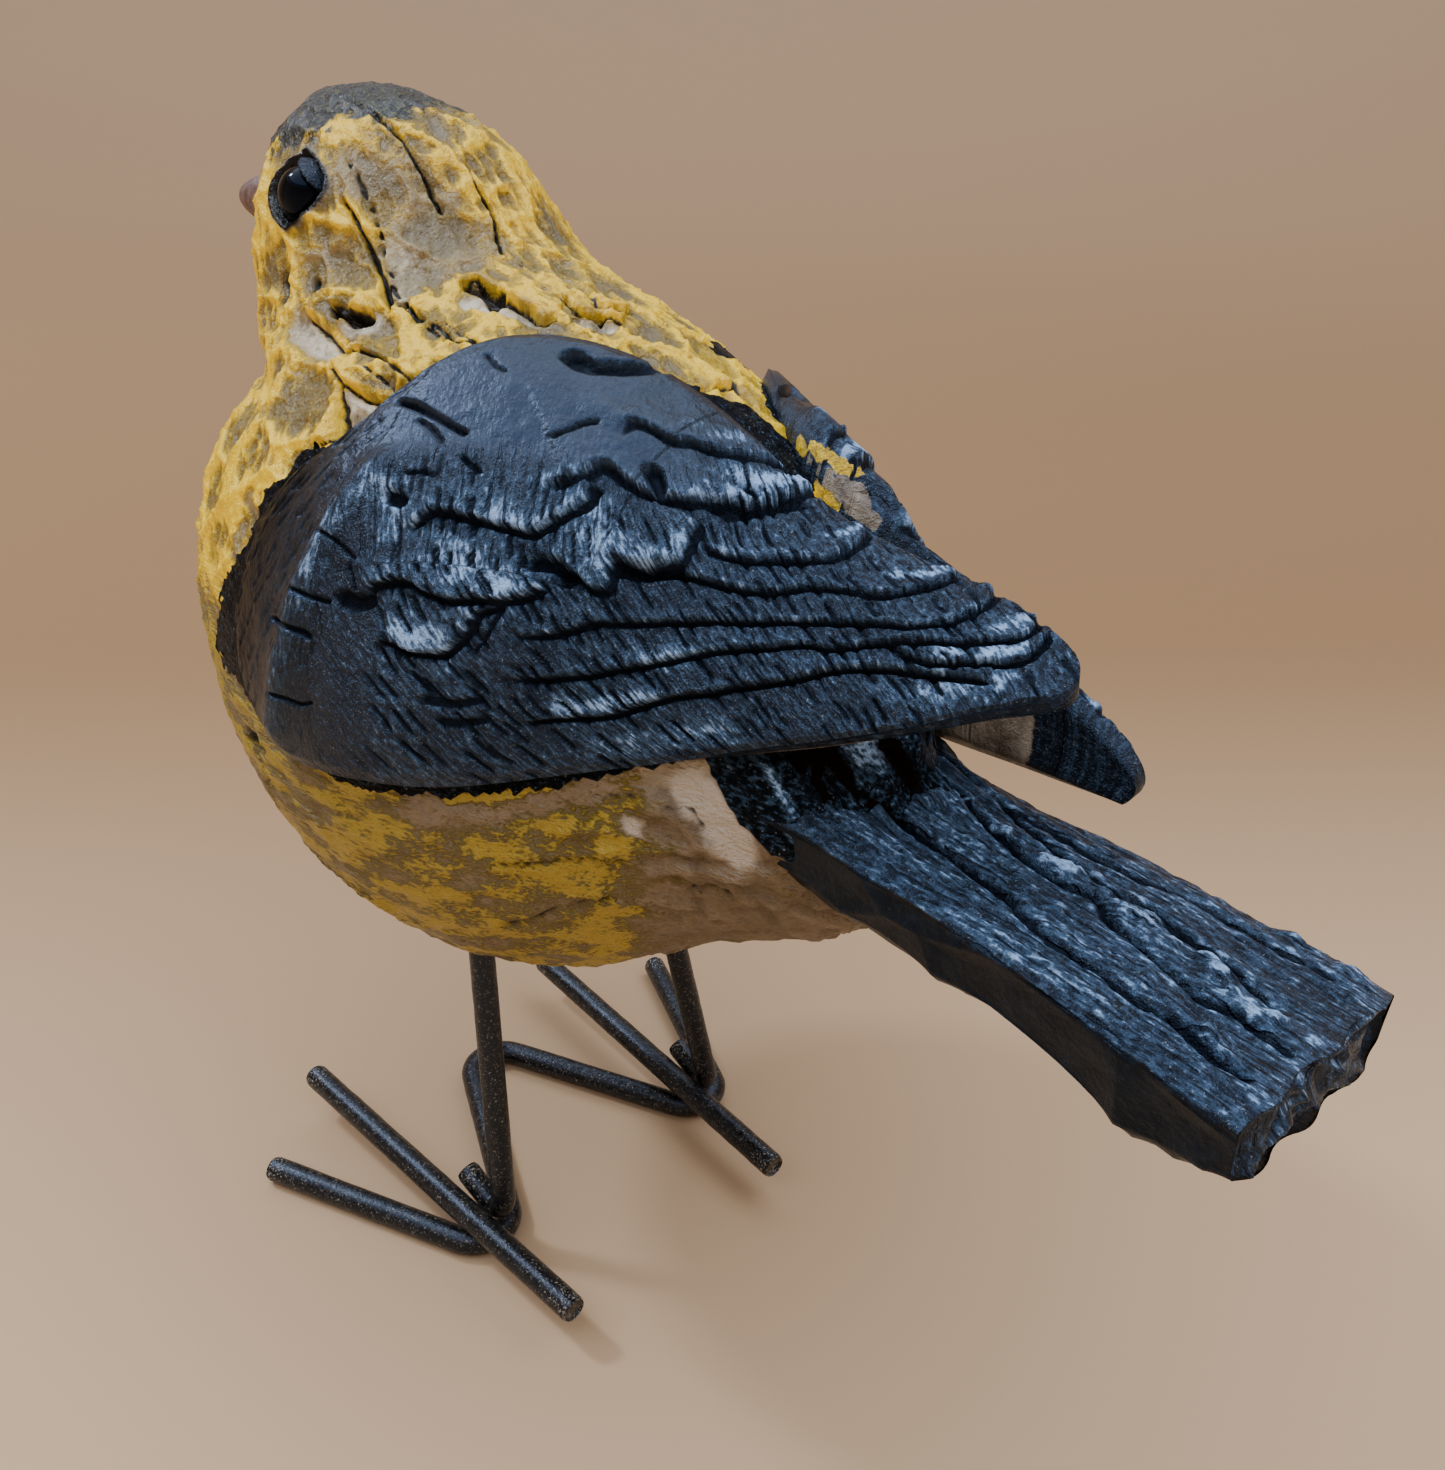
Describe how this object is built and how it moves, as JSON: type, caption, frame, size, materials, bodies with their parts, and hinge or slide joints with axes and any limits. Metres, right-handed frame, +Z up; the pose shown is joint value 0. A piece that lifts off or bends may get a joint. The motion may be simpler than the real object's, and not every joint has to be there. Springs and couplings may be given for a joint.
{
  "type": "carved bird ornament",
  "caption": "Painted songbird carving with folded wings, a turned head and a straight tail, standing on legs and toes of bent wire.",
  "frame": {"origin": "on the ground, under the middle of the whole bird", "axes": "+Z up, the bird looks along -Y, and its left side is +X"},
  "size_m": [0.0694, 0.1348, 0.121],
  "materials": {
    "painted_carving": "hand painted, dry brushed, satin",
    "bead": "polished black",
    "painted_wire": "worn satin black"
  },
  "bodies": {
    "root": {"carved_bird": "painted_carving", "left_eye": "bead", "right_eye": "bead", "left_leg": "painted_wire", "right_leg": "painted_wire", "left_toe_bar": "painted_wire", "right_toe_bar": "painted_wire", "joined_toes": "painted_wire"}
  },
  "joints": []
}
